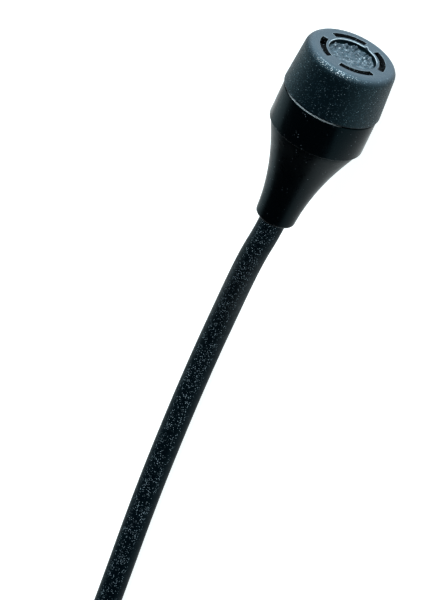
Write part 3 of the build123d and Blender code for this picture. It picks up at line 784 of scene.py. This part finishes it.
# ---- Cord ----


def ease(t):
    """Smooth step from 0 to 1."""
    t = min(1.0, max(0.0, t))
    return t * t * (3 - 2 * t)


def coil_centre():
    """The middle of the coil on the floor."""
    return (COIL_LOW[0] + COIL_HIGH[0]) / 2, (COIL_LOW[1] + COIL_HIGH[1]) / 2


def on_coil(degrees, distance, height):
    """A point at an angle and distance about the coil's centre."""
    x, y = coil_centre()
    angle = math.radians(degrees)
    return (x + distance * math.cos(angle), y + distance * math.sin(angle), height)


def tie_lift(point):
    """How far the strap under the coil lifts a point of the winding."""
    x, y = coil_centre()
    across = max(0.0, abs(point[0] - x) - TIE_HALF_WIDTH)
    along = max(0.0, point[1] - y + COIL_OUTER_TURN - (COIL_COLUMNS - 1) * COIL_PITCH - CABLE_RADIUS)
    return TIE_LIFT * (1 - ease(math.hypot(across, along) / TIE_LIFT_REACH))


def coil_turns():
    """The winding's points: one half of a turn steps to the next column, and the other may climb a layer."""
    shrink = 0.75 + 0.25 * math.cos(2 * math.pi / TURN_POINTS)
    half = TURN_POINTS // 2
    column, layer, step = 0, 0, 1
    points = []
    turns = COIL_COLUMNS + (COIL_LAYERS - 1) * (COIL_COLUMNS - 1)
    for turn in range(turns):
        before = column
        if turn:
            column += step
        at_end = turn > 0 and column in (0, COIL_COLUMNS - 1)
        climb = 1 if at_end and layer < COIL_LAYERS - 1 else 0
        for n in range(TURN_POINTS):
            degrees = 90 + 360 * n / TURN_POINTS
            place = before + (column - before) * ease(n / half)
            height = layer + climb * ease((n - half) / half)
            radius = (COIL_OUTER_TURN - place * COIL_PITCH) / shrink
            x, y, z = on_coil(degrees, radius, CABLE_RADIUS + height * LAYER_PITCH)
            points.append((x, y, z + tie_lift((x, y))))
        if at_end:
            step = -step
            layer += climb
    return points


def tail_points():
    """From the coil's top turn to the connector's flex relief."""
    top = COIL_HIGH[2] - CABLE_RADIUS
    height = (RELIEF_LOW[2] + RELIEF_HIGH[2]) / 2
    side = (RELIEF_LOW[1] + RELIEF_HIGH[1]) / 2
    rear = RELIEF_LOW[0]
    last_turn = CABLE_RADIUS + (COIL_LAYERS - 1) * LAYER_PITCH
    return [
        on_coil(90, COIL_OUTER_TURN, last_turn),
        on_coil(110, COIL_OUTER_TURN, last_turn + 0.0001),
        on_coil(130, COIL_OUTER_TURN, last_turn + 0.0002),
        on_coil(150, COIL_OUTER_TURN, top),
        on_coil(178, COIL_OUTER_TURN + 0.0002, top - 0.0003),
        on_coil(202, COIL_OUTER_TURN + 0.0022, top - 0.0011),
        on_coil(225, COIL_OUTER_TURN + 0.0044, height + 0.0003),
        (rear - 0.0098, side, height),
        (rear, side, height),
        (rear + 0.0005, side, height),
    ]


def strap_line():
    """The strap's middle line in the plane across the winding: once round it and on over its own start."""
    y = coil_centre()[1]
    outset = CABLE_RADIUS + TIE_GAP + TIE_THICKNESS / 2
    outer = y - COIL_OUTER_TURN - outset
    inner = y - COIL_OUTER_TURN + (COIL_COLUMNS - 1) * COIL_PITCH + outset
    low = TIE_THICKNESS / 2 + TIE_CLEARANCE
    high = COIL_HIGH[2] + TIE_THICKNESS / 2 + TIE_TOP_GAP
    over = TIE_THICKNESS + TIE_LAP_GAP
    corners = [
        (outer + TIE_START, high),
        (inner, high),
        (inner, low),
        (outer, low),
        (outer - over * 0.4, high * 0.6),
        (outer - over, high + over),
        (inner - TIE_TIP_START, high + over),
        (inner - TIE_TIP_END, high + over + TIE_TIP_RISE),
    ]
    return rounded_line(corners, TIE_CORNER)


def rounded_line(corners, size, steps=8):
    """Points along straight runs whose corners are rounded off."""
    spots = [Vector(corners[0])]
    for before, corner, after in zip(corners, corners[1:], corners[2:]):
        corner = Vector(corner)
        enter = corner + (Vector(before) - corner).normalized() * size
        leave = corner + (Vector(after) - corner).normalized() * size
        for n in range(steps + 1):
            t = n / steps
            spots.append(enter * (1 - t) ** 2 + corner * 2 * t * (1 - t) + leave * t**2)
    spots.append(Vector(corners[-1]))
    return spots


def strap_mesh():
    """A woven strap with a thicker sewn edge down each side."""
    line = strap_line()
    fine = []
    for a, b in zip(line, line[1:]):
        pieces = max(1, round((b - a).length / TIE_ROW))
        fine += [a.lerp(b, n / pieces) for n in range(pieces)]
    fine.append(line[-1])
    half = TIE_HALF_WIDTH
    across = [-half + 2 * half * n / TIE_COLUMNS for n in range(TIE_COLUMNS + 1)]
    x = coil_centre()[0]
    points = []
    for n, spot in enumerate(fine):
        ahead = fine[min(n + 1, len(fine) - 1)] - fine[max(n - 1, 0)]
        side = Vector((-ahead.y, ahead.x)).normalized()
        for face in (1, -1):
            for reach in across[::face]:
                inset = half - abs(reach)
                edge = min(1.0, inset / TIE_EDGE_WIDTH)
                welt = WELT_RISE if WELT_START < inset < WELT_END else 0.0
                weave = WEAVE_RISE * math.sin(reach / WEAVE_WIDTH) * math.sin(n * WEAVE_TURN)
                rise = TIE_THICKNESS * (TIE_EDGE_RISE + TIE_MIDDLE_RISE * edge**0.5) + (welt + weave) * edge
                place = spot + side * face * rise
                points.append((x + reach, place.x, place.y))
    count = 2 * len(across)
    faces = []
    for n in range(len(fine) - 1):
        for k in range(count):
            after = (k + 1) % count
            faces.append((n * count + k, n * count + after, (n + 1) * count + after, (n + 1) * count + k))
    last = (len(fine) - 1) * count
    for start in (0, last):
        for k in range(len(across) - 1):
            other = count - 1 - k
            faces.append((start + k, start + k + 1, start + other - 1, start + other))
    return smooth(new_mesh("strap", points, faces), 50)


def make_strap(looks):
    """The hook-and-loop strap that ties the coil."""
    return add_object("strap", strap_mesh(), "microphone", "tie_fabric", looks["tie_fabric"], "coil_tie")


def make_cord(looks, pieces):
    """The whole cable as one smooth spline with a round section."""
    points = [*ROUTE, *coil_turns(), *tail_points()]
    curve = bpy.data.curves.new("cable", "CURVE")
    curve.dimensions = "3D"
    curve.bevel_depth = CABLE_RADIUS
    curve.bevel_resolution = 9
    curve.resolution_u = 8
    curve.use_fill_caps = True
    spline = curve.splines.new("NURBS")
    spline.points.add(len(points) - 1)
    for spot, point in zip(spline.points, points):
        spot.co = (*point, 1.0)
    spline.order_u = 3
    spline.use_endpoint_u = True
    cable = add_object("cable", curve, "microphone", "cable_jacket", looks["cable_jacket"],
                       "cable_tube", "cable_coil", "cable_tail")


# ---- Latch spring ----

def spring_line():
    """The wire's middle line: close turns at both ends, open between them."""
    radius = (SPRING_HIGH[0] - SPRING_LOW[0]) / 2 - SPRING_WIRE
    low = SPRING_LOW[2] + SPRING_WIRE
    rise = SPRING_HIGH[2] - SPRING_LOW[2] - 2 * SPRING_WIRE
    spots = []
    count = SPRING_TURNS * SPRING_TURN_STEPS
    for n in range(count + 1):
        turn = n / SPRING_TURN_STEPS
        opened = ease((turn - 0.4) / (SPRING_TURNS - 0.8))
        share = 0.5 * opened + 0.5 * min(1.0, max(0.0, (turn - 0.6) / (SPRING_TURNS - 1.2)))
        angle = 2 * math.pi * turn
        x, y = SPRING_CENTRE[0] + radius * math.cos(angle), SPRING_CENTRE[1] + radius * math.sin(angle)
        spots.append(Vector((x, y, low + rise * share)))
    return spots


def tube(name, line, radius, sides):
    """A closed tube along a line of points."""
    points, faces = [], []
    for n, spot in enumerate(line):
        ahead = (line[min(n + 1, len(line) - 1)] - line[max(n - 1, 0)]).normalized()
        across = ahead.cross(Vector((0, 0, 1))).normalized()
        up = across.cross(ahead)
        for k in range(sides):
            angle = 2 * math.pi * k / sides
            points.append(spot + (across * math.cos(angle) + up * math.sin(angle)) * radius)
    for n in range(len(line) - 1):
        for k in range(sides):
            after = (k + 1) % sides
            here, there = n * sides, (n + 1) * sides
            faces.append((here + k, here + after, there + after, there + k))
    faces.append(tuple(range(sides)))
    faces.append(tuple(range(len(points) - 1, len(points) - sides - 1, -1)))
    return smooth(new_mesh(name, points, faces))


def make_spring(looks):
    """The latch's compression spring, built at one fixed length; the real spring shortens as the latch is
    pressed.
    """
    mesh = tube("spring", spring_line(), SPRING_WIRE, SPRING_SIDES)
    spring = add_object("spring", mesh, "microphone", "steel", looks["steel"], "latch_spring")
    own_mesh(spring)
    return spring


# ---- CAD nodes that stay ----


def dress_nodes(looks):
    """Gives every CAD node the material of its slot in the record."""
    for entry in frame["record"]["subparts"]:
        node = NODES[entry["node"]]
        node.data.materials.clear()
        node.data.materials.append(looks[entry["material_slot"]])


# ---- Camera, floor and light ----

def make_camera():
    """A long lens that looks down past the cap, rolled a quarter turn."""
    turn, lift = math.radians(VIEW_AZIMUTH), math.radians(VIEW_ELEVATION)
    back = Vector((math.sin(turn) * math.cos(lift), -math.cos(turn) * math.cos(lift), math.sin(lift)))
    along = Vector((0, 0, 1)).cross(back).normalized()
    down = -back.cross(along)
    data = bpy.data.cameras.new("camera")
    data.lens = VIEW_LENS
    data.clip_start, data.clip_end = 0.01, 20
    camera = bpy.data.objects.new("camera", data)
    bpy.context.scene.collection.objects.link(camera)
    place = SEAM + down * VIEW_OFFSET[0] + along * VIEW_OFFSET[1] + back * VIEW_DISTANCE
    turned_axes = Matrix((down, along, back)).transposed().to_4x4()
    camera.matrix_world = Matrix.Translation(place) @ turned_axes
    bpy.context.scene.camera = camera


def make_floor():
    """A large pale floor that glows a little, as a lit light table does."""
    reach = FLOOR_REACH
    corners = [(-reach, -reach, 0), (reach, -reach, 0), (reach, reach, 0), (-reach, reach, 0)]
    mesh = new_mesh("floor", corners, [(0, 1, 2, 3)])
    floor = bpy.data.objects.new("floor", mesh)
    bpy.context.scene.collection.objects.link(floor)
    look = Look("floor", (0.5, 0.5, 0.5), 0.9, specular=0.0)
    look.tint(look.noise(40), (0.48, 0.49, 0.5), (0.5, 0.5, 0.5))
    look.set("Emission Color", FLOOR_GLOW_COLOUR)
    look.set("Emission Strength", FLOOR_GLOW)
    mesh.materials.append(look.material)


def area_light(name, direction, distance, size, power, colour):
    """A soft rectangular light that shines on the head from a direction."""
    data = bpy.data.lights.new(name, "AREA")
    data.shape = "RECTANGLE"
    data.size, data.size_y = size
    data.energy = power
    data.color = colour
    light = bpy.data.objects.new(name, data)
    bpy.context.scene.collection.objects.link(light)
    towards = Vector(direction).normalized()
    light.location = SEAM + towards * distance
    light.rotation_mode = "QUATERNION"
    light.rotation_quaternion = (-towards).to_track_quat("-Z", "Y")
    light.visible_camera = False


def make_world():
    """A dim surround that is brighter near the horizon."""
    world = bpy.data.worlds.new("surround")
    world.use_nodes = True
    tree = world.node_tree
    background = tree.nodes["Background"]
    place = tree.nodes.new("ShaderNodeTexCoord").outputs["Generated"]
    split = tree.nodes.new("ShaderNodeSeparateXYZ")
    tree.links.new(place, split.inputs[0])
    ramp = tree.nodes.new("ShaderNodeValToRGB")
    tree.links.new(split.outputs["Z"], ramp.inputs[0])
    for stop, place_up, colour in zip(ramp.color_ramp.elements, (0.0, HORIZON_WIDTH), (HORIZON, ZENITH)):
        stop.position = place_up
        stop.color = colour
    tree.links.new(ramp.outputs[0], background.inputs["Color"])
    bpy.context.scene.world = world


def make_lights():
    """A key before the cap, a wide one overhead, a small one for the housing's top edge, and a soft side
    light.
    """
    for light in LIGHTS:
        area_light(*light)
    bpy.context.scene.view_settings.view_transform = "Standard"


def main():
    """Builds everything round the frame."""
    looks = make_looks()
    dress_nodes(looks)
    make_camera()
    make_head(looks)
    make_cord(looks, (make_strap(looks), make_spring(looks)))
    make_floor()
    make_world()
    make_lights()


main()
